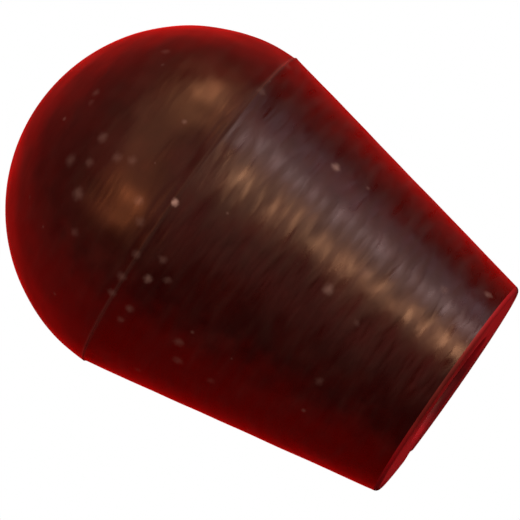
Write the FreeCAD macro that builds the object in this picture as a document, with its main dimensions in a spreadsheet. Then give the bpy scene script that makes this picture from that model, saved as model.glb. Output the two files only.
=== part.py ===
import FreeCAD, Part
import math
import os

import Sketcher

# Rubber vacuum cap: one moulding with a domed head, a tapered wall and a blind bore.
# It stands on its flat mouth face. +Z runs up the axis of symmetry and the origin is the
# centre of that face. All sizes are in millimetres.

# Driving dimensions: name, size, meaning.
DIMENSIONS = (
    ("head_diameter", 18.0, "widest part, at the parting line between dome and taper"),
    ("taper_length", 15.4, "height of the parting line above the mouth face"),
    ("mouth_diameter", 12.1, "outer edge of the mouth face, before it is rounded"),
    ("lip_round", 0.25, "radius on the outer edge of the mouth"),
    ("bore_diameter", 6.0, "straight wall that grips the nipple or tube"),
    ("bore_entry_round", 0.3, "radius on the inner edge of the mouth"),
    ("head_wall", 6.0, "rubber between the end of the bore and the top of the dome"),
    ("flash_bead", 0.4, "diameter of the bead that the mould leaves at the parting line"),
    ("flash_height", 0.006, "how far that bead stands out of the head"),
)

FULL_TURN = math.degrees(math.tau)
QUARTER_TURN = math.pi / 2
POSITION_TOLERANCE = 1e-4

# In a sketch: the numbers that constraints give to the two ends and the centre of a line or an
# arc, those of its axes, its origin point, and the direction out of the page.
START, END, CENTRE = range(1, 4)
HORIZONTAL_AXIS, VERTICAL_AXIS = range(-1, -3, -1)
ORIGIN_POINT = (HORIZONTAL_AXIS, START)
PAGE_NORMAL = FreeCAD.Vector(0, 0, 1)


def add_sheet(document):
    """Put the driving dimensions in a sheet whose cells carry their names."""
    sheet = document.addObject("Spreadsheet::Sheet", "sizes")
    for row, (name, size, meaning) in enumerate(DIMENSIONS, start=1):
        sheet.set(f"A{row}", name)
        sheet.set(f"B{row}", str(size))
        sheet.set(f"C{row}", meaning)
        sheet.setAlias(f"B{row}", name)
    document.recompute()
    return sheet


def add_sketch(body, name):
    """Make an empty half section on the body's XZ plane: across the page is +X, up is +Z."""
    sketch = body.newObject("Sketcher::SketchObject", name)
    plane = next(item for item in body.Origin.OriginFeatures if item.Role == "XZ_Plane")
    sketch.AttachmentSupport = [(plane, "")]
    sketch.MapMode = "FlatFace"
    return sketch


def point(across, up):
    """A point of a half section, by its distance from the axis and its height."""
    return FreeCAD.Vector(across, up, 0)


def add_outline(sketch, corners):
    """Draw straight lines from each corner to the next, joined end to end."""
    for first, second in zip(corners, corners[1:]):
        line = sketch.addGeometry(Part.LineSegment(first, second), False)
        if first is not corners[0]:
            sketch.addConstraint(Sketcher.Constraint("Coincident", line - 1, END, line, START))


def add_quarter_arc(sketch, centre, radius):
    """Draw an arc from beside its centre to straight above it, and return its number."""
    circle = Part.Circle(centre, PAGE_NORMAL, radius)
    return sketch.addGeometry(Part.ArcOfCircle(circle, 0, QUARTER_TURN), False)


def relate(sketch, kind, *places):
    """Add a constraint that has no size."""
    sketch.addConstraint(Sketcher.Constraint(kind, *places))


def dimension(sketch, name, formula, kind, *places):
    """Add a constraint with a size, and bind that size to the sheet."""
    number = sketch.addConstraint(Sketcher.Constraint(kind, *places, 1.0))
    sketch.renameConstraint(number, name)
    sketch.setExpression(f"Constraints.{name}", formula)


def revolve(body, kind, name, sketch):
    """Turn a half section a full turn about the cap's axis, to add or to cut."""
    feature = body.newObject(f"PartDesign::{kind}", name)
    feature.Profile = (sketch, [""])
    feature.ReferenceAxis = (sketch, ["V_Axis"])
    feature.Angle = FULL_TURN
    body.Document.recompute()
    return feature


def edge_at(feature, radius, height):
    """Find the circular edge of that radius about the axis, at that height."""
    for number, edge in enumerate(feature.Shape.Edges, start=1):
        if not isinstance(edge.Curve, Part.Circle):
            continue
        off_radius = abs(edge.Curve.Radius - radius)
        off_height = abs(edge.Curve.Center.z - height)
        if max(off_radius, off_height) < POSITION_TOLERANCE:
            return f"Edge{number}"
    raise RuntimeError(f"{feature.Name} has no edge of radius {radius} at height {height}")


def round_edge(body, name, base, edge, formula):
    """Round one edge of the base feature by a radius from the sheet."""
    feature = body.newObject("PartDesign::Fillet", name)
    feature.Base = (base, [edge])
    feature.setExpression("Radius", formula)
    body.Document.recompute()
    return feature


def add_taper(body, sheet):
    """The lower mould half's outside: a straight taper from the mouth up to the head."""
    sketch = add_sketch(body, "taper_section")
    corners = [
        point(0, 0),
        point(sheet.mouth_diameter / 2, 0),
        point(sheet.head_diameter / 2, sheet.taper_length),
        point(0, sheet.taper_length),
        point(0, 0),
    ]
    add_outline(sketch, corners)
    mouth, wall, parting, axis = range(4)
    relate(sketch, "Coincident", axis, END, mouth, START)
    relate(sketch, "Coincident", mouth, START, *ORIGIN_POINT)
    relate(sketch, "Horizontal", mouth)
    relate(sketch, "Horizontal", parting)
    relate(sketch, "Vertical", axis)
    dimension(sketch, "mouth_radius", "sizes.mouth_diameter / 2",
              "DistanceX", *ORIGIN_POINT, mouth, END)
    dimension(sketch, "head_radius", "sizes.head_diameter / 2",
              "DistanceX", *ORIGIN_POINT, wall, END)
    dimension(sketch, "taper_height", "sizes.taper_length",
              "DistanceY", *ORIGIN_POINT, wall, END)
    return revolve(body, "Revolution", "taper", sketch)


def add_dome(body, sheet):
    """The upper mould half's outside: half a ball that sits on the parting line."""
    sketch = add_sketch(body, "dome_section")
    radius = sheet.head_diameter / 2
    centre = point(0, sheet.taper_length)
    arc = add_quarter_arc(sketch, centre, radius)
    add_outline(sketch, [centre + point(0, radius), centre, centre + point(radius, 0)])
    axis, parting = arc + 1, arc + 2
    relate(sketch, "Coincident", arc, END, axis, START)
    relate(sketch, "Coincident", arc, START, parting, END)
    relate(sketch, "Coincident", arc, CENTRE, axis, END)
    relate(sketch, "PointOnObject", axis, END, VERTICAL_AXIS)
    relate(sketch, "Vertical", axis)
    relate(sketch, "Horizontal", parting)
    dimension(sketch, "dome_radius", "sizes.head_diameter / 2", "Radius", arc)
    dimension(sketch, "parting_height", "sizes.taper_length",
              "DistanceY", *ORIGIN_POINT, axis, END)
    return revolve(body, "Revolution", "dome", sketch)


def add_parting_flash(body, sheet):
    """The low rounded bead where rubber crept between the two mould halves."""
    sketch = add_sketch(body, "flash_section")
    bead_radius = sheet.flash_bead / 2
    centre = point(sheet.head_diameter / 2 + sheet.flash_height - bead_radius, sheet.taper_length)
    bead = sketch.addGeometry(Part.Circle(centre, PAGE_NORMAL, bead_radius), False)
    dimension(sketch, "bead_reach",
              "sizes.head_diameter / 2 + sizes.flash_height - sizes.flash_bead / 2",
              "DistanceX", *ORIGIN_POINT, bead, CENTRE)
    dimension(sketch, "parting_height", "sizes.taper_length",
              "DistanceY", *ORIGIN_POINT, bead, CENTRE)
    dimension(sketch, "bead_diameter", "sizes.flash_bead", "Diameter", bead)
    return revolve(body, "Revolution", "parting_flash", sketch)


def cut_bore(body, sheet):
    """The blind hole that the core pin leaves: a straight wall with a ball-shaped end."""
    sketch = add_sketch(body, "bore_section")
    radius = sheet.bore_diameter / 2
    depth = sheet.taper_length + sheet.head_diameter / 2 - sheet.head_wall
    wall_top = depth - radius
    add_outline(sketch, [point(0, depth), point(0, 0), point(radius, 0), point(radius, wall_top)])
    axis, mouth, wall = range(3)
    arc = add_quarter_arc(sketch, point(0, wall_top), radius)
    relate(sketch, "Coincident", arc, START, wall, END)
    relate(sketch, "Coincident", arc, END, axis, START)
    relate(sketch, "Coincident", axis, END, *ORIGIN_POINT)
    relate(sketch, "Vertical", axis)
    relate(sketch, "Horizontal", mouth)
    relate(sketch, "Vertical", wall)
    relate(sketch, "PointOnObject", arc, CENTRE, VERTICAL_AXIS)
    relate(sketch, "Horizontal", arc, CENTRE, wall, END)
    dimension(sketch, "bore_radius", "sizes.bore_diameter / 2",
              "DistanceX", *ORIGIN_POINT, mouth, END)
    dimension(sketch, "bore_depth",
              "sizes.taper_length + sizes.head_diameter / 2 - sizes.head_wall",
              "DistanceY", *ORIGIN_POINT, axis, START)
    return revolve(body, "Groove", "bore", sketch)


def check_document(document):
    """Stop if any object of the document failed to build."""
    for item in document.Objects:
        if "Invalid" in item.State or "Error" in item.State:
            raise RuntimeError(f"{item.Name} did not build: {item.State}")


def check_solid(body):
    """Stop unless the body is one valid closed solid."""
    if body.Shape.isNull() or not body.Shape.isValid() or len(body.Shape.Solids) != 1:
        raise RuntimeError(f"{body.Label} is not one valid solid")


document = FreeCAD.newDocument("rubber_vacuum_cap")
sheet = add_sheet(document)
cap = document.addObject("PartDesign::Body", "vacuum_cap")
cap.Label = "vacuum_cap"
cap.Placement = FreeCAD.Placement()

add_taper(cap, sheet)
add_dome(cap, sheet)
flash = add_parting_flash(cap, sheet)
bore = cut_bore(cap, sheet)
if bore.Shape.Volume >= flash.Shape.Volume:
    raise RuntimeError("The bore did not cut the cap")

outer_edge = edge_at(bore, sheet.mouth_diameter / 2, 0)
lip = round_edge(cap, "mouth_lip", bore, outer_edge, "sizes.lip_round")
inner_edge = edge_at(lip, sheet.bore_diameter / 2, 0)
round_edge(cap, "bore_entry", lip, inner_edge, "sizes.bore_entry_round")

document.recompute()
check_document(document)
check_solid(cap)

os.makedirs("parts", exist_ok=True)
cap.Shape.exportStep(os.path.join("parts", f"{cap.Label}.step"))
box = cap.Shape.optimalBoundingBox()
print(f"{cap.Label}: {box.XLength:.3f} x {box.YLength:.3f} x {box.ZLength:.3f} mm,"
      f" {cap.Shape.Volume:.2f} mm3, {len(cap.Shape.Faces)} faces")
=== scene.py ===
"""Looks of a one-piece rubber vacuum cap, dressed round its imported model.

The cap stands on its flat mouth face: +Z runs up its axis, and the origin is the centre of the
mouth. Lengths are metres and angles are degrees, unless a docstring says otherwise.
"""

import logging
import math
from dataclasses import dataclass, field
from enum import Enum
from typing import ClassVar

import bmesh
import bpy
from mathutils import Matrix, Vector, noise

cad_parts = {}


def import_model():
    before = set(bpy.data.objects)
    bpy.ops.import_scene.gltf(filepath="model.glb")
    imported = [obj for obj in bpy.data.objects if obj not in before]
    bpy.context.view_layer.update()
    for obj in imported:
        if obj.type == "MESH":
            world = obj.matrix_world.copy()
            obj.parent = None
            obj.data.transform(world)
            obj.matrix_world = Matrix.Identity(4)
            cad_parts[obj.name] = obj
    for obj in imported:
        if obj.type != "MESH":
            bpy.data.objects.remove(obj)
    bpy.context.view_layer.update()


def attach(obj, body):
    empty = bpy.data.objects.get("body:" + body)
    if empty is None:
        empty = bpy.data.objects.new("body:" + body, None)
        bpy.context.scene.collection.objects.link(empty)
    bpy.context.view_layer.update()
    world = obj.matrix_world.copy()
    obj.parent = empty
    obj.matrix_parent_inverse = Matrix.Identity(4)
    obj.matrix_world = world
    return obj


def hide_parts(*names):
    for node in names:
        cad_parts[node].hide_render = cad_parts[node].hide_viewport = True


log = logging.getLogger("vacuum_cap")

CAP_NODE = "vacuum_cap"
ONLY_BODY = "root"

MM = 0.001
PHOTO_PIXELS = 520
UP = Vector((0, 0, 1))
NOISE_MIDDLE = 0.5

Colour = tuple[float, float, float, float]
WHITE: Colour = (1, 1, 1, 1)
DUST_COLOUR: Colour = (0.27, 0.22, 0.21, 1)
# painted shade for the mouth's dark corners
TIP_SHADE_COLOUR: Colour = (0.03, 0.001, 0.001, 1)


class Skin(Enum):
    """The stretches of the cap's surface that have a finish of their own, by material slot."""

    OUTSIDE = 0
    LIP = 1
    MOUTH = 2
    BORE = 3


class Board:
    """Places nodes in one node tree and wires them together."""

    def __init__(self, tree: bpy.types.NodeTree) -> None:
        """Take over a node tree and empty it."""
        self.tree = tree
        self.tree.nodes.clear()

    def add(self, kind: str, **settings: object) -> bpy.types.Node:
        """Add a node.

        Args:
            kind: the node's type name.
            settings: properties of the node, by name.

        Returns:
            The new node.
        """
        node = self.tree.nodes.new(kind)
        for name, value in settings.items():
            setattr(node, name, value)
        return node

    def put(self, socket: bpy.types.NodeSocket, value: object) -> None:
        """Link a socket to an input, or set the input to a plain value.

        Args:
            socket: the input.
            value: the socket or the plain value that goes in.
        """
        if isinstance(value, bpy.types.NodeSocket):
            self.tree.links.new(value, socket)
        else:
            socket.default_value = value

    def feed(self, node: bpy.types.Node, **values: object) -> bpy.types.Node:
        """Set a node's inputs by name, from sockets or plain values.

        Args:
            node: the node to feed.
            values: input names, with underscores for spaces, and what goes in.

        Returns:
            The same node.
        """
        for name, value in values.items():
            self.put(node.inputs[name.replace("_", " ")], value)
        return node

    def wire(self, node: bpy.types.Node, *values: object) -> bpy.types.NodeSocket:
        """Set the inputs that a node has in use, in their order.

        Args:
            node: the node to wire up.
            values: what goes in, sockets or plain values.

        Returns:
            The first output that the node has in use.
        """
        used = [socket for socket in node.inputs if socket.enabled]
        for socket, value in zip(used, values):
            self.put(socket, value)
        return next(socket for socket in node.outputs if socket.enabled)

    def math(self, operation: str, *values: object) -> bpy.types.NodeSocket:
        """Work out a number from one, two or three others."""
        return self.wire(self.add("ShaderNodeMath", operation=operation), *values)

    def vector(self, operation: str, *values: object) -> bpy.types.NodeSocket:
        """Work out a vector, a length or a product from vectors."""
        return self.wire(self.add("ShaderNodeVectorMath", operation=operation), *values)

    def join(self, x: object = 0.0, y: object = 0.0, z: object = 0.0) -> bpy.types.NodeSocket:
        """Put a vector together from its X, Y and Z."""
        return self.wire(self.add("ShaderNodeCombineXYZ"), x, y, z)

    def split(self, vector: object) -> tuple[bpy.types.NodeSocket, ...]:
        """Take a vector apart into its X, Y and Z."""
        return tuple(self.feed(self.add("ShaderNodeSeparateXYZ"), Vector=vector).outputs)

    def from_axis(self, place: object) -> bpy.types.NodeSocket:
        """Find the level direction, of length 1, in which a place lies from the cap's axis."""
        return self.vector("NORMALIZE", self.vector("MULTIPLY", place, (1, 1, 0)))

    def blend(self, share: object, first: object, second: object) -> bpy.types.NodeSocket:
        """Mix two colours, with that share of the second."""
        return self.wire(self.add("ShaderNodeMix", data_type="RGBA"), share, first, second)

    def blend_numbers(self, share: object, first: object, second: object) -> bpy.types.NodeSocket:
        """Mix two numbers, with that share of the second."""
        return self.wire(self.add("ShaderNodeMix", data_type="FLOAT"), share, first, second)

    def spread(self, value: object, low: object, high: object, to_low: float = 0.0,
               to_high: float = 1.0) -> bpy.types.NodeSocket:
        """Rescale low to high into to_low to to_high, with a smooth start and end."""
        node = self.add("ShaderNodeMapRange", interpolation_type="SMOOTHSTEP")
        return self.wire(node, value, low, high, to_low, to_high)

    def clouds(self, place: object, scale: float, detail: float,
               roughness: float = 0.5) -> bpy.types.NodeOutputs:
        """Add a cloudy noise, which puts out Fac and Color."""
        node = self.add("ShaderNodeTexNoise")
        return self.feed(node, Vector=place, Scale=scale, Detail=detail,
                         Roughness=roughness).outputs


@dataclass(frozen=True)
class CapSizes:
    """The cap's sizes, as the part's source gives them."""

    head_radius: float = 9.0 * MM
    parting_height: float = 15.4 * MM
    mouth_radius: float = 6.05 * MM
    lip_round: float = 0.25 * MM
    bore_radius: float = 3.0 * MM
    bore_entry_round: float = 0.3 * MM
    bore_depth: float = 18.4 * MM
    flash_bead_radius: float = 0.2 * MM
    flash_height: float = 0.006 * MM

    @property
    def taper_slope(self) -> float:
        """How far the tapered wall leans from upright, in radians."""
        return math.atan2(self.head_radius - self.mouth_radius, self.parting_height)

    @property
    def middle(self) -> Vector:
        """The point of the axis halfway up the cap."""
        return Vector((0, 0, (self.parting_height + self.head_radius) / 2))

    def taper_radius(self, height: float) -> float:
        """The outside radius of the tapered wall at a height."""
        share = height / self.parting_height
        return self.mouth_radius + share * (self.head_radius - self.mouth_radius)


@dataclass(frozen=True)
class Fleck:
    """A soft fleck of pale dust that clings to the outside of the cap.

    Its height and width are in mm, its bearing is from the camera's side towards +X, and its
    cover is how much of the rubber's colour its middle hides.
    """

    height: float
    bearing: float
    width: float
    cover: float

    def place(self, sizes: CapSizes) -> Vector:
        """Where the fleck's middle lies on the outside.

        Args:
            sizes: the sizes of the cap that it clings to.

        Returns:
            The point, in metres.
        """
        height = self.height * MM
        rise = height - sizes.parting_height
        radius = sizes.taper_radius(height)
        if rise > 0:
            radius = math.sqrt(sizes.head_radius ** 2 - rise ** 2)
        bearing = math.radians(self.bearing)
        return Vector((radius * math.sin(bearing), -radius * math.cos(bearing), height))


FLECKS = (
    Fleck(15.35, -1, 0.29, 0.95), Fleck(16.8, -7, 0.40, 0.15), Fleck(16.2, -12, 0.40, 0.10),
    Fleck(20.1, 3, 0.44, 0.12), Fleck(20.8, -11, 0.50, 0.10), Fleck(19.9, -7, 0.40, 0.10),
    Fleck(18.9, 0, 0.44, 0.10), Fleck(18.2, 2, 0.40, 0.10), Fleck(21.8, 18, 0.36, 0.08),
    Fleck(21.7, 13, 0.30, 0.05), Fleck(19.5, -18, 0.52, 0.15), Fleck(18.6, -29, 0.36, 0.08),
    Fleck(20.3, 47, 0.36, 0.08), Fleck(15.5, -21, 0.36, 0.12), Fleck(14.4, -26, 0.36, 0.30),
    Fleck(14.3, -18, 0.36, 0.12), Fleck(13.6, -23, 0.34, 0.12), Fleck(15.5, -30, 0.40, 0.15),
    Fleck(15.5, -37, 0.36, 0.15), Fleck(14.4, -39, 0.36, 0.15), Fleck(14.5, -45, 0.32, 0.12),
    Fleck(11.6, -42, 0.40, 0.15), Fleck(11.2, -50, 0.42, 0.12), Fleck(12.7, -67, 0.32, 0.08),
    Fleck(10.3, 45, 0.40, 0.40), Fleck(7.1, 5, 0.44, 0.25), Fleck(5.0, -27, 0.36, 0.10),
    Fleck(2.7, 36, 0.40, 0.12), Fleck(6.1, 19, 0.50, 0.10), Fleck(0.9, 52, 0.34, 0.25),
    Fleck(9.4, -52, 0.36, 0.08), Fleck(5.1, 1, 0.30, 0.08), Fleck(15.3, 47, 0.40, 0.10),
    Fleck(15.2, 69, 0.36, 0.08))


class SharedEffect:
    """An effect that all of the cap's finishes use: a shader node group, built once."""

    name: ClassVar[str]
    inputs: ClassVar[dict[str, str]]
    outputs: ClassVar[dict[str, str]]

    def draw(self, board: Board, given: bpy.types.NodeOutputs) -> dict[str, object]:
        """Draw the effect from what its group is given, and return what it puts out, by name."""
        raise NotImplementedError(self.name)

    def group(self) -> bpy.types.NodeTree:
        """Build the effect's node group, unless it is already there.

        Returns:
            The group.
        """
        if self.name in bpy.data.node_groups:
            return bpy.data.node_groups[self.name]
        group = bpy.data.node_groups.new(self.name, "ShaderNodeTree")
        for way, sockets in (("INPUT", self.inputs), ("OUTPUT", self.outputs)):
            for label, kind in sockets.items():
                group.interface.new_socket(label, in_out=way, socket_type=f"NodeSocket{kind}")
        board = Board(group)
        given = board.add("NodeGroupInput").outputs
        board.feed(board.add("NodeGroupOutput"), **self.draw(board, given))
        return group

    def add_to(self, board: Board, **values: object) -> bpy.types.NodeOutputs:
        """Place the effect's group in a material and feed it, and return its outputs."""
        node = board.add("ShaderNodeGroup", node_tree=self.group())
        return board.feed(node, **values).outputs


@dataclass(frozen=True)
class MouldRings(SharedEffect):
    """Broken rings round the cap's axis, as a turned mould leaves them, and the parting line.

    The group is given the Place, the Pitch of the rings and the height of the Parting line.
    The mould was smoother above that line, and below it the wall has a soft, ragged shoulder.
    It puts out the Height of the relief, its Wear and the mask of the dusty Seam.

    The depths and the shoulder's height count in a finish's bump. The shoulder reaches down by
    its least and at most its stray more, both in mm.
    """

    name = "turned_mould_rings"
    inputs = {"Place": "Vector", "Pitch": "Float", "Parting": "Float"}
    outputs = {"Height": "Float", "Wear": "Float", "Seam": "Float"}

    fine_breaks: float = 6.0
    fine_pitches: float = 1.0
    fine_depth: float = 0.6
    broad_breaks: float = 4.5
    broad_pitches: float = 1.4
    broad_depth: float = 0.9
    ring_roughness: float = 0.35
    patch_scale: float = 350.0
    patch_span: tuple[float, float] = (0.3, 0.7)
    patch_depths: tuple[float, float] = (0.6, 1.2)
    dome_start: float = 1 * MM
    dome_share: float = 0.4
    shoulder_least: float = 0.8
    shoulder_stray: float = 1.2
    shoulder_curve: float = 1.5
    shoulder_height: float = -2.0
    polish_span: tuple[float, float] = (1 * MM, 4 * MM)
    polish: float = 0.15
    seam_reach: float = 0.16 * MM
    seam_wear: float = 0.9
    seam_dust: float = 0.015
    seam_dust_span: tuple[float, float] = (4 * MM, 6 * MM)

    def rings(self, board: Board, around: object, along: object, breaks: float,
              pitches: float) -> bpy.types.NodeSocket:
        """Draw one layer of rings.

        Args:
            board: the board of the group's node tree.
            around: the direction from the axis.
            along: the height, counted in pitches.
            breaks: how often the rings break on their way round.
            pitches: how many pitches the rings are apart.

        Returns:
            The layer, as a cloudy noise.
        """
        tall = board.join(z=board.math("DIVIDE", along, pitches))
        spot = board.vector("ADD", board.vector("SCALE", around, breaks), tall)
        return board.clouds(spot, 1.0, 1.0, self.ring_roughness)["Fac"]

    def draw(self, board: Board, given: bpy.types.NodeOutputs) -> dict[str, object]:
        """Draw the rings, the shoulder and the parting line.

        Args:
            board: the board of the group's node tree.
            given: what the group is given.

        Returns:
            What the group puts out, by name.
        """
        around = board.from_axis(given["Place"])
        x, _, z = board.split(given["Place"])
        along = board.math("DIVIDE", z, given["Pitch"])
        fine = self.rings(board, around, along, self.fine_breaks, self.fine_pitches)
        broad = self.rings(board, around, along, self.broad_breaks, self.broad_pitches)
        patches = board.clouds(given["Place"], self.patch_scale, 1.0)["Fac"]
        deep = board.math("MULTIPLY", board.math("SUBTRACT", fine, NOISE_MIDDLE),
                          board.spread(patches, *self.patch_span, *self.patch_depths))
        cut = board.math("MULTIPLY_ADD", broad, self.broad_depth,
                         board.math("MULTIPLY", deep, self.fine_depth))

        above = board.math("SUBTRACT", z, given["Parting"])
        smoother = board.spread(above, 0.0, self.dome_start, 1.0, self.dome_share)
        relief = board.math("MULTIPLY", cut, smoother)
        wear = board.math("MULTIPLY", board.math("SUBTRACT", broad, NOISE_MIDDLE), smoother)
        polished = board.spread(z, *self.polish_span, self.polish, 0.0)

        reach = board.math("MULTIPLY_ADD", patches, self.shoulder_stray, self.shoulder_least)
        below = board.math("DIVIDE", board.math("MINIMUM", above, 0.0), MM)
        ramp = board.math("MAXIMUM", board.math("ADD", reach, below), 0.0)
        shoulder = board.math("POWER", ramp, self.shoulder_curve)

        seam = board.spread(board.math("ABSOLUTE", above), 0.0, self.seam_reach, 1.0, 0.0)
        dulled = board.math("MULTIPLY_ADD", seam, self.seam_wear, wear)
        aside = board.spread(board.math("ABSOLUTE", x), *self.seam_dust_span)
        dusty = board.math("MULTIPLY", aside, self.seam_dust)
        return {"Height": board.math("MULTIPLY_ADD", shoulder, self.shoulder_height, relief),
                "Wear": board.math("SUBTRACT", dulled, polished),
                "Seam": board.math("MULTIPLY", seam, dusty)}


@dataclass(frozen=True)
class RubberMottle(SharedEffect):
    """Clouds in the rubber's colour.

    The group is given the Place and the Deep and Light colours, and puts out the Color.
    """

    name = "rubber_mottle"
    inputs = {"Place": "Vector", "Deep": "Color", "Light": "Color"}
    outputs = {"Color": "Color"}

    scale: float = 450.0
    detail: float = 4.0
    roughness: float = 0.6
    span: tuple[float, float] = (0.35, 0.7)

    def draw(self, board: Board, given: bpy.types.NodeOutputs) -> dict[str, object]:
        """Draw the clouds.

        Args:
            board: the board of the group's node tree.
            given: what the group is given.

        Returns:
            What the group puts out, by name.
        """
        clouds = board.clouds(given["Place"], self.scale, self.detail, self.roughness)
        share = board.spread(clouds["Fac"], *self.span)
        return {"Color": board.blend(share, given["Deep"], given["Light"])}


@dataclass(frozen=True)
class PaintedGlowSides(SharedEffect):
    """Painted glow: the two sides of the cap painted a lighter red, standing in for light that
    shines through the rubber there.

    The group is given the Place and how far round to the Left and the Right the painted glow
    starts, as the sine of the bearing, and puts out the Mask of it.
    """

    name = "painted_glow_sides"
    inputs = {"Place": "Vector", "Left": "Float", "Right": "Float"}
    outputs = {"Mask": "Float"}

    ragged_scale: float = 900.0
    ragged_detail: float = 2.0
    ragged_reach: float = 0.2
    fade: float = 0.5

    def draw(self, board: Board, given: bpy.types.NodeOutputs) -> dict[str, object]:
        """Draw the rubbed sides.

        Args:
            board: the board of the group's node tree.
            given: what the group is given.

        Returns:
            What the group puts out, by name.
        """
        rightward = board.split(board.from_axis(given["Place"]))[0]
        ragged = board.clouds(given["Place"], self.ragged_scale, self.ragged_detail)["Fac"]
        astray = board.math("MULTIPLY", board.math("SUBTRACT", ragged, NOISE_MIDDLE),
                            self.ragged_reach)
        left = board.math("SUBTRACT", board.math("SUBTRACT", astray, rightward), given["Left"])
        right = board.math("SUBTRACT", board.math("ADD", astray, rightward), given["Right"])
        return {"Mask": board.math("MAXIMUM", board.spread(left, 0.0, self.fade),
                                   board.spread(right, 0.0, self.fade))}


@dataclass(frozen=True)
class PaintedShadeTips(SharedEffect):
    """Painted shade: the mouth's corner on the two sides, painted dark where less light gets
    through the thick rubber.

    The group is given the Place, the Corner's distance from the axis and the Reach of the
    painted shade, and puts out the Mask of it. The shade is full up to the share full of that
    reach, and it has ended at gone times the reach.
    """

    name = "painted_shade_tips"
    inputs = {"Place": "Vector", "Corner": "Float", "Reach": "Float"}
    outputs = {"Mask": "Float"}

    full: float = 0.7
    gone: float = 1.9

    def draw(self, board: Board, given: bpy.types.NodeOutputs) -> dict[str, object]:
        """Draw the worn tips.

        Args:
            board: the board of the group's node tree.
            given: what the group is given.

        Returns:
            What the group puts out, by name.
        """
        folded = board.vector("ABSOLUTE", given["Place"])
        gap = board.vector("DISTANCE", folded, board.join(given["Corner"]))
        near = board.math("DIVIDE", gap, given["Reach"])
        return {"Mask": board.spread(near, self.full, self.gone, 1.0, 0.0)}


@dataclass(frozen=True)
class DustSpecks(SharedEffect):
    """Tiny pale specks of dust, scattered all over.

    The group is given the Place, the Spacing of the places where a speck can lie and the Share
    of them that have one, and puts out the Mask. The specks' radii are shares of the spacing.
    """

    name = "dust_specks"
    inputs = {"Place": "Vector", "Spacing": "Float", "Share": "Float"}
    outputs = {"Mask": "Float"}

    radii: tuple[float, float] = (0.08, 0.26)
    cover: float = 0.18

    def draw(self, board: Board, given: bpy.types.NodeOutputs) -> dict[str, object]:
        """Draw the specks.

        Args:
            board: the board of the group's node tree.
            given: what the group is given.

        Returns:
            What the group puts out, by name.
        """
        cells = board.add("ShaderNodeTexVoronoi")
        board.feed(cells, Vector=given["Place"],
                   Scale=board.math("DIVIDE", 1.0, given["Spacing"]))
        chance = board.add("ShaderNodeSeparateColor")
        board.feed(chance, Color=cells.outputs["Color"])
        taken = board.math("LESS_THAN", chance.outputs["Red"], given["Share"])
        radius = board.spread(chance.outputs["Green"], 0.0, 1.0, *self.radii)
        near = board.math("DIVIDE", cells.outputs["Distance"], radius)
        cover = board.spread(near, 1.0, 0.0, 0.0, self.cover)
        return {"Mask": board.math("MULTIPLY", taken, cover)}


@dataclass(frozen=True)
class DustFlecks(SharedEffect):
    """The larger flecks of dust, each at its own place, with ragged and soft edges.

    The group is given the Place, and puts out the Mask of the flecks.
    """

    name = "dust_flecks"
    inputs = {"Place": "Vector"}
    outputs = {"Mask": "Float"}

    sizes: CapSizes
    ragged_scale: float = 4000.0
    ragged_reach: float = 0.2 * MM
    softness: float = 1.8

    def draw(self, board: Board, given: bpy.types.NodeOutputs) -> dict[str, object]:
        """Draw the flecks.

        Args:
            board: the board of the group's node tree.
            given: what the group is given.

        Returns:
            What the group puts out, by name.
        """
        clouds = board.clouds(given["Place"], self.ragged_scale, 1.0)
        astray = board.vector("MULTIPLY_ADD", clouds["Color"], (self.ragged_reach,) * 3,
                              given["Place"])
        ragged = board.vector("SUBTRACT", astray, (self.ragged_reach / 2,) * 3)
        mask = 0.0
        for fleck in FLECKS:
            gap = board.vector("DISTANCE", ragged, fleck.place(self.sizes))
            reach = self.softness * (fleck.width * MM / 2)
            mask = board.math("MAXIMUM", board.spread(gap, 0.0, reach, fleck.cover, 0.0), mask)
        return {"Mask": mask}


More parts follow.
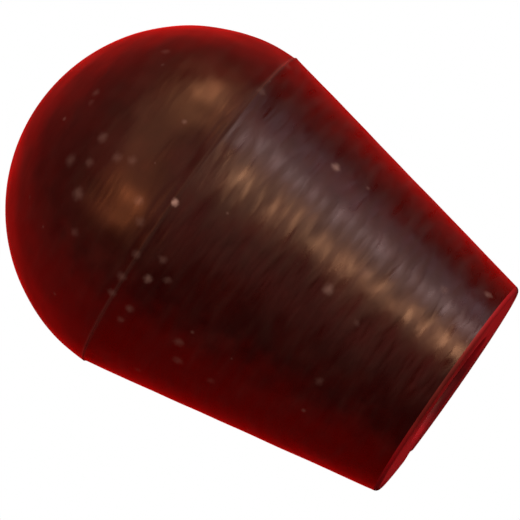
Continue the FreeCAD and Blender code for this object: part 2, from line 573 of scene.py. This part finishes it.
@dataclass(frozen=True)
class RubberFinish:
    """One stretch of the cap's dark maroon rubber."""

    name: str
    deep: Colour
    light: Colour
    # the colour of the painted glow on the two sides, and the sine of the bearing where it starts
    painted_glow: Colour
    painted_glow_left: float
    painted_glow_right: float
    roughness: float
    gloss: float
    sheen: float
    sheen_roughness: float
    sheen_tint: Colour
    ring_bump: float
    dust: float
    ring_pitch: float = 0.34 * MM
    ring_wear: float = 0.45
    tip_shade_reach: float = 0.6 * MM
    speck_spacing: float = 0.8 * MM

    def material(self, sizes: CapSizes) -> bpy.types.Material:
        """Build the finish.

        Args:
            sizes: the sizes of the cap that it is for.

        Returns:
            The material.
        """
        made = bpy.data.materials.new(self.name)
        made.use_nodes = True
        board = Board(made.node_tree)
        place = board.add("ShaderNodeTexCoord").outputs["Object"]
        rings = MouldRings().add_to(board, Place=place, Pitch=self.ring_pitch,
                                    Parting=sizes.parting_height)
        mottle = RubberMottle().add_to(board, Place=place, Deep=self.deep, Light=self.light)
        painted_glow = PaintedGlowSides().add_to(board, Place=place, Left=self.painted_glow_left,
                                      Right=self.painted_glow_right)
        tip_shade = PaintedShadeTips().add_to(board, Place=place, Corner=sizes.mouth_radius,
                                 Reach=self.tip_shade_reach)
        specks = DustSpecks().add_to(board, Place=place, Spacing=self.speck_spacing,
                                     Share=self.dust)
        flecks = DustFlecks(sizes).add_to(board, Place=place)
        dust = board.math("MAXIMUM", specks["Mask"], flecks["Mask"])
        dust = board.math("MAXIMUM", dust, rings["Seam"])

        # painted glow: the two sides turn a lighter red, standing in for light shining through
        # the rubber
        colour = board.blend(painted_glow["Mask"], mottle["Color"], self.painted_glow)
        # painted shade darkens the mouth's corners, where less light gets through the rubber
        colour = board.blend(tip_shade["Mask"], colour, TIP_SHADE_COLOUR)
        colour = board.blend(dust, colour, DUST_COLOUR)
        worn = board.math("MULTIPLY_ADD", rings["Wear"], self.ring_wear, self.roughness)
        bump = board.add("ShaderNodeBump")
        board.feed(bump, Strength=1.0, Distance=self.ring_bump, Height=rings["Height"])

        surface = board.add("ShaderNodeBsdfPrincipled")
        board.feed(surface, Base_Color=colour, Roughness=worn, Normal=bump.outputs["Normal"],
                   Specular_IOR_Level=self.gloss, Sheen_Weight=self.sheen,
                   Sheen_Roughness=self.sheen_roughness, Sheen_Tint=self.sheen_tint)
        out = board.add("ShaderNodeOutputMaterial")
        board.feed(out, Surface=surface.outputs["BSDF"])
        return made


# The lighter red on the two sides of each finish is a painted glow, standing in for light that
# shines through the rubber.
FINISHES = {
    Skin.OUTSIDE: RubberFinish(
        name="moulded_rubber", deep=(0.014, 0.0008, 0.0006, 1), light=(0.024, 0.0019, 0.0013, 1),
        painted_glow=(0.08, 0.0008, 0.0005, 1), painted_glow_left=0.4, painted_glow_right=0.78, roughness=0.36,
        gloss=0.5, sheen=1.0, sheen_roughness=0.36, sheen_tint=(0.84, 0.002, 0.0015, 1),
        ring_bump=0.042 * MM, dust=0.1),
    # The lip, mouth and bore are painted a far lighter red than the outside, though they are the
    # same rubber: a painted glow of light shining through the thin rubber at the mouth.
    Skin.LIP: RubberFinish(
        name="lip_rubber", deep=(0.10, 0.010, 0.009, 1), light=(0.15, 0.015, 0.013, 1),
        painted_glow=(0.26, 0.005, 0.010, 1), painted_glow_left=0.2, painted_glow_right=0.2, roughness=0.5,
        gloss=0.3, sheen=0.2, sheen_roughness=0.4, sheen_tint=(0.6, 0.01, 0.01, 1),
        ring_bump=0.004 * MM, dust=0.05),
    Skin.MOUTH: RubberFinish(
        name="mouth_rubber", deep=(0.09, 0.004, 0.007, 1), light=(0.14, 0.006, 0.010, 1),
        painted_glow=(0.40, 0.006, 0.015, 1), painted_glow_left=0.35, painted_glow_right=0.35, roughness=0.6,
        gloss=0.2, sheen=0.25, sheen_roughness=0.4, sheen_tint=(0.7, 0.01, 0.015, 1),
        ring_bump=0.004 * MM, dust=0.05),
    Skin.BORE: RubberFinish(
        name="bore_rubber", deep=(0.08, 0.002, 0.004, 1), light=(0.12, 0.003, 0.006, 1),
        painted_glow=(0.10, 0.003, 0.005, 1), painted_glow_left=0.5, painted_glow_right=0.5, roughness=0.5,
        gloss=0.2, sheen=0.1, sheen_roughness=0.4, sheen_tint=(0.4, 0.01, 0.01, 1),
        ring_bump=0.004 * MM, dust=0.05),
}


def arc(centre: Vector, radius: float, first: float, last: float, steps: int) -> list[Vector]:
    """Points along an arc in the XZ plane.

    Args:
        centre: the arc's centre.
        radius: its radius.
        first: the angle that it starts at, from +X towards +Z.
        last: the angle that it ends at.
        steps: how many equal steps it takes.

    Returns:
        The points, both ends included.
    """
    points = []
    for step in range(steps + 1):
        angle = math.radians(first + (last - first) * step / steps)
        points.append(centre + radius * Vector((math.cos(angle), 0, math.sin(angle))))
    return points


def run(start: Vector, end: Vector, steps: int) -> list[Vector]:
    """Evenly spaced points along a straight line, without its start."""
    return [start.lerp(end, step / steps) for step in range(1, steps + 1)]


def finished_object(mesh: bmesh.types.BMesh, name: str) -> bpy.types.Object:
    """Turn a finished bmesh into an object in the scene.

    Args:
        mesh: the bmesh, which is freed.
        name: the name of the object and its mesh.

    Returns:
        The new object, at the origin.
    """
    data = bpy.data.meshes.new(name)
    mesh.to_mesh(data)
    mesh.free()
    piece = bpy.data.objects.new(name, data)
    bpy.context.scene.collection.objects.link(piece)
    return piece


@dataclass
class CapMoulding:
    """The whole rubber moulding, with the small faults that its mould and handling left."""

    sizes: CapSizes
    turns: int = 224
    bore_end_steps: int = 14
    bore_steps: int = 16
    entry_steps: int = 6
    mouth_steps: int = 8
    lip_steps: int = 6
    taper_steps: int = 72
    flash_steps: int = 8
    dome_steps: int = 90
    weld_gap: float = 0.0005 * MM
    level_gap: float = 0.02 * MM
    bore_slack: float = 1.001
    bore_margin: float = 0.3 * MM
    swell_length: float = 2 * MM
    unevenness: float = 0.03 * MM
    mould_offset: Vector = field(default_factory=lambda: Vector((-0.045 * MM, 0, 0)))
    nick_place: Vector = field(default_factory=lambda: Vector((-3.9 * MM, 4.62 * MM, 0)))
    nick_width: float = 0.45 * MM
    nick_length: float = 2.2 * MM
    nick_depth: float = 0.17 * MM

    def bore_section(self) -> list[Vector]:
        """Draw the half section of the bore.

        Returns:
            Its points, from the bore's closed end down to its rounded entry.
        """
        sizes = self.sizes
        end = Vector((0, 0, sizes.bore_depth - sizes.bore_radius))
        points = arc(end, sizes.bore_radius, 90, 0, self.bore_end_steps)
        wall_foot = Vector((sizes.bore_radius, 0, sizes.bore_entry_round))
        points += run(points[-1], wall_foot, self.bore_steps)
        entry = Vector((sizes.bore_radius + sizes.bore_entry_round, 0, sizes.bore_entry_round))
        points += arc(entry, sizes.bore_entry_round, 180, 270, self.entry_steps)[1:]
        return points

    def outside_section(self) -> list[Vector]:
        """Draw the half section of the outside.

        Returns:
            Its points, from the bore's entry to the top of the dome.
        """
        sizes = self.sizes
        slope = sizes.taper_slope
        lip_reach = sizes.lip_round * math.tan((math.pi / 2 - slope) / 2 + slope)
        lip = Vector((sizes.mouth_radius - lip_reach + sizes.lip_round * math.tan(slope), 0,
                      sizes.lip_round))
        start = Vector((sizes.bore_radius + sizes.bore_entry_round, 0, 0))
        points = run(start, Vector((lip.x, 0, 0)), self.mouth_steps)
        wall_start = 360 - math.degrees(slope)
        points += arc(lip, sizes.lip_round, 270, wall_start, self.lip_steps)[1:]

        bead = Vector((sizes.head_radius + sizes.flash_height - sizes.flash_bead_radius, 0,
                       sizes.parting_height))
        sunk = (sizes.head_radius - bead.x) * math.cos(slope)
        below = math.degrees(slope + math.acos(sunk / sizes.flash_bead_radius))
        above = math.degrees(math.acos(
            (sizes.head_radius ** 2 - bead.x ** 2 - sizes.flash_bead_radius ** 2)
            / (2 * bead.x * sizes.flash_bead_radius)))
        flash = arc(bead, sizes.flash_bead_radius, -below, above, self.flash_steps)
        points += run(points[-1], flash[0], self.taper_steps)
        points += flash[1:]

        dome = Vector((0, 0, sizes.parting_height))
        first = math.degrees(math.asin((flash[-1].z - dome.z) / sizes.head_radius))
        points += arc(dome, sizes.head_radius, first, 90, self.dome_steps)[1:]
        return points

    def build(self) -> bpy.types.Object:
        """Model the moulding.

        Returns:
            The mesh object, at the origin, with its faces set to their finishes' slots.
        """
        section = self.bore_section() + self.outside_section()[1:]
        mesh = bmesh.new()
        corners = [mesh.verts.new(point) for point in section]
        edges = [mesh.edges.new(pair) for pair in zip(corners, corners[1:])]
        bmesh.ops.spin(mesh, geom=corners + edges, cent=Vector(), axis=UP, dvec=Vector(),
                       angle=math.tau, steps=self.turns, use_merge=True)
        bmesh.ops.remove_doubles(mesh, verts=mesh.verts, dist=self.weld_gap)
        bmesh.ops.recalc_face_normals(mesh, faces=mesh.faces)
        for face in mesh.faces:
            face.material_index = self.skin_of(face).value
            face.smooth = True
        self.make_uneven(mesh)
        self.shift_dome(mesh)
        self.nick_lip(mesh)
        return finished_object(mesh, "cap_moulding")

    def dress(self, cap: bpy.types.Object) -> None:
        """Give the moulding its finishes, in the order of their slots."""
        for skin in Skin:
            cap.data.materials.append(FINISHES[skin].material(self.sizes))

    def skin_of(self, face: bmesh.types.BMFace) -> Skin:
        """Tell which stretch of the surface a face belongs to.

        Args:
            face: a face of the moulding before its faults are added.

        Returns:
            The stretch.
        """
        sizes = self.sizes
        centre = face.calc_center_median()
        radius = math.hypot(centre.x, centre.y)
        within_bore = radius < sizes.bore_radius * self.bore_slack
        if within_bore and centre.z < sizes.bore_depth * self.bore_slack:
            return Skin.BORE
        if centre.z < self.level_gap and radius < sizes.mouth_radius - sizes.lip_round:
            return Skin.MOUTH
        entry_reach = sizes.bore_radius + sizes.bore_entry_round
        if radius < entry_reach and centre.z < sizes.bore_entry_round:
            return Skin.MOUTH
        if centre.z < sizes.lip_round:
            return Skin.LIP
        return Skin.OUTSIDE

    def is_outside(self, corner: bmesh.types.BMVert) -> bool:
        """Tell whether a corner is on the outside, above the lip.

        Args:
            corner: a corner of the moulding.

        Returns:
            Whether it is.
        """
        clear_of_bore = corner.co.xy.length > self.sizes.bore_radius + self.bore_margin
        over_bore = corner.co.z > self.sizes.bore_depth + self.bore_margin
        return corner.co.z > 2 * self.sizes.lip_round and (clear_of_bore or over_bore)

    def make_uneven(self, mesh: bmesh.types.BMesh) -> None:
        """Swell and sink the outside a little, because soft rubber never comes out true.

        Args:
            mesh: the moulding's bmesh.
        """
        for corner in filter(self.is_outside, mesh.verts):
            outward = Vector((corner.co.x, corner.co.y, 0))
            swell = noise.noise(corner.co / self.swell_length)
            corner.co += outward / self.sizes.head_radius * self.unevenness * swell

    def shift_dome(self, mesh: bmesh.types.BMesh) -> None:
        """Set the dome half a hair to one side, as the two mould halves closed.

        Args:
            mesh: the moulding's bmesh.
        """
        for corner in filter(self.is_outside, mesh.verts):
            if corner.co.z > self.sizes.parting_height:
                corner.co += self.mould_offset

    def nick_lip(self, mesh: bmesh.types.BMesh) -> None:
        """Tear a small nick in the mouth's outer edge, which runs out across its face.

        Args:
            mesh: the moulding's bmesh.
        """
        inward = -self.nick_place.normalized()
        for corner in mesh.verts:
            away = corner.co - self.nick_place
            along = away.dot(inward)
            aside = (away - inward * along).length
            if aside < self.nick_width and abs(along) < self.nick_length:
                share = (1 - aside / self.nick_width) * (1 - abs(along) / self.nick_length)
                corner.co += UP * self.nick_depth * share


@dataclass(frozen=True)
class Lamp:
    """A soft rectangular lamp that looks at the cap.

    Its bearing is from the camera's side towards +X, its rise is above the floor, and its
    level is how light a white card becomes that faces it.
    """

    name: str
    bearing: float
    rise: float
    width: float
    height: float
    level: tuple[float, float, float]
    distance: float = 0.25

    def hang(self, target: Vector) -> None:
        """Hang the lamp and turn it to the cap.

        Args:
            target: the point that it looks at.
        """
        strongest = max(self.level)
        data = bpy.data.lights.new(self.name, "AREA")
        data.shape = "RECTANGLE"
        data.size = self.width
        data.size_y = self.height
        data.energy = strongest * (math.pi * self.distance) ** 2
        data.color = [share / strongest for share in self.level]
        bearing, rise = math.radians(self.bearing), math.radians(self.rise)
        towards = Vector((math.sin(bearing) * math.cos(rise), -math.cos(bearing) * math.cos(rise),
                          math.sin(rise)))
        lamp = bpy.data.objects.new(self.name, data)
        lamp.location = target + towards * self.distance
        lamp.rotation_euler = towards.to_track_quat("Z", "Y").to_euler()
        bpy.context.scene.collection.objects.link(lamp)


@dataclass
class Studio:
    """The pale floor, the soft warm lamps and a room that is brighter on one side.

    The floor's paint is cool, so that the warm light leaves it a plain pale grey. The floor is
    solid as far out as floor_solid, and has faded out at the share floor_fade of its radius.
    """

    target: Vector
    floor_radius: float = 0.4
    floor_sides: int = 96
    floor_drop: float = 0.02 * MM
    floor_solid: float = 0.03
    floor_fade: float = 0.9
    floor_colour: Colour = (0.62, 0.86, 1.0, 1)
    bright_side: Vector = field(default_factory=lambda: Vector((0.75, -0.35, 0.56)).normalized())
    surround_colour: Colour = (1.0, 0.8, 0.7, 1)
    surround_dim: float = 0.03
    surround_bright: float = 1.13
    gloss_surround: float = 0.0
    lamps: tuple[Lamp, ...] = (
        Lamp("warm_strip", 36, -19, 0.055, 0.08, (0.25, 0.125, 0.067)),
        Lamp("plain_strip", 60, -12, 0.06, 0.10, (0.148, 0.103, 0.098)),
        Lamp("cool_strip", 82, -20, 0.06, 0.12, (0.04, 0.032, 0.036)),
        Lamp("dome_key", 73, 25, 0.056, 0.056, (0.17, 0.07, 0.032)),
        Lamp("dome_key_wide", 62, 30, 0.12, 0.07, (0.09, 0.036, 0.014)),
        Lamp("dome_fill", -19, 30, 0.05, 0.05, (0.20, 0.058, 0.02)),
        Lamp("fill_wide", 0, 36, 0.16, 0.09, (0.06, 0.023, 0.010)),
        Lamp("top_soft", 35, 42, 0.16, 0.10, (0.09, 0.040, 0.020)),
        Lamp("front_soft", 0, 0, 0.20, 0.20, (0.08, 0.025, 0.02)),
    )

    def light(self) -> None:
        """Hang every lamp and set up the surroundings."""
        for lamp in self.lamps:
            lamp.hang(self.target)
        world = bpy.data.worlds.new("one_sided_room")
        bpy.context.scene.world = world
        world.use_nodes = True
        board = Board(world.node_tree)
        towards = board.add("ShaderNodeTexCoord").outputs["Generated"]
        facing = board.vector("DOT_PRODUCT", towards, self.bright_side)
        surround = board.spread(facing, -1.0, 1.0, self.surround_dim, self.surround_bright)
        ray = board.add("ShaderNodeLightPath").outputs
        seen = board.math("MAXIMUM", ray["Is Camera Ray"], ray["Is Transmission Ray"])
        unseen = board.blend_numbers(ray["Is Glossy Ray"], surround, self.gloss_surround)
        back = board.add("ShaderNodeBackground")
        board.feed(back, Color=board.blend(seen, self.surround_colour, WHITE),
                   Strength=board.blend_numbers(seen, unseen, 1.0))
        out = board.add("ShaderNodeOutputWorld")
        board.feed(out, Surface=back.outputs["Background"])

    def floor_material(self) -> bpy.types.Material:
        """Build the floor's paint, which is clear from below and round the floor's edge.

        Returns:
            The material.
        """
        made = bpy.data.materials.new("pale_floor")
        made.use_nodes = True
        board = Board(made.node_tree)
        reach = board.vector("LENGTH", board.add("ShaderNodeTexCoord").outputs["Object"])
        gone = self.floor_radius * self.floor_fade
        solid = board.spread(reach, self.floor_solid, gone, 1.0, 0.0)
        below = board.add("ShaderNodeNewGeometry").outputs["Backfacing"]
        share = board.math("MULTIPLY", solid, board.math("SUBTRACT", 1.0, below))
        clear = board.add("ShaderNodeBsdfTransparent")
        paint = board.add("ShaderNodeBsdfDiffuse")
        board.feed(paint, Color=self.floor_colour)
        mixed = board.wire(board.add("ShaderNodeMixShader"), share, clear.outputs["BSDF"],
                           paint.outputs["BSDF"])
        out = board.add("ShaderNodeOutputMaterial")
        board.feed(out, Surface=mixed)
        return made

    def lay_floor(self) -> None:
        """Lay the floor, which shows from above only and fades out round its edge."""
        mesh = bmesh.new()
        bmesh.ops.create_circle(mesh, cap_ends=True, radius=self.floor_radius,
                                segments=self.floor_sides)
        floor = finished_object(mesh, "pale_floor")
        floor.location.z = -self.floor_drop
        for rays in ("diffuse", "glossy", "transmission", "shadow", "volume_scatter"):
            setattr(floor, f"visible_{rays}", False)
        floor.data.materials.append(self.floor_material())


@dataclass
class PhotoCamera:
    """The camera at the photograph's viewing angle, rolled so that the dome is upper left.

    The target shows at the target's column and row of the photograph, and pixel is how wide
    one pixel of it is at the target. The sensor's width is in mm.
    """

    target: Vector
    elevation: float = -4.7
    roll: float = 54.86
    distance: float = 0.342
    pixel: float = 0.0487 * MM
    target_column: float = 244.0
    target_row: float = 246.9
    sensor: float = 36.0
    nearest: float = 0.01
    furthest: float = 10.0

    def place(self) -> bpy.types.Object:
        """Make the camera and aim it.

        Returns:
            The camera object, which is the scene's camera.
        """
        lift = math.radians(self.elevation)
        turn = math.radians(self.roll)
        back = Vector((0, -math.cos(lift), math.sin(lift)))
        level_right = Vector((1, 0, 0))
        level_up = back.cross(level_right)
        right = level_right * math.cos(turn) - level_up * math.sin(turn)
        up = level_right * math.sin(turn) + level_up * math.cos(turn)
        across = (PHOTO_PIXELS / 2 - self.target_column) * self.pixel
        down = (PHOTO_PIXELS / 2 - self.target_row) * self.pixel
        aim = self.target + right * across - up * down
        data = bpy.data.cameras.new("photo_camera")
        data.sensor_width = self.sensor
        data.lens = self.sensor * self.distance / (PHOTO_PIXELS * self.pixel)
        data.clip_start = self.nearest
        data.clip_end = self.furthest
        camera = bpy.data.objects.new("photo_camera", data)
        turned = Matrix((right, up, back)).transposed().to_4x4()
        camera.matrix_world = Matrix.Translation(aim + back * self.distance) @ turned
        bpy.context.scene.collection.objects.link(camera)
        bpy.context.scene.camera = camera
        return camera


def main() -> None:
    """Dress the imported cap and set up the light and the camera."""
    logging.basicConfig(level=logging.INFO, format="%(name)s: %(message)s")
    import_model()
    bpy.context.scene.view_settings.view_transform = "Standard"

    cap_sizes = CapSizes()
    moulding = CapMoulding(cap_sizes)
    cap = moulding.build()
    moulding.dress(cap)
    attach(cap, ONLY_BODY)
    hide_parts(CAP_NODE)
    log.info("%s: %d faces", cap.name, len(cap.data.polygons))

    studio = Studio(target=cap_sizes.middle)
    studio.light()
    studio.lay_floor()
    PhotoCamera(target=cap_sizes.middle).place()


if __name__ == "__main__":
    main()
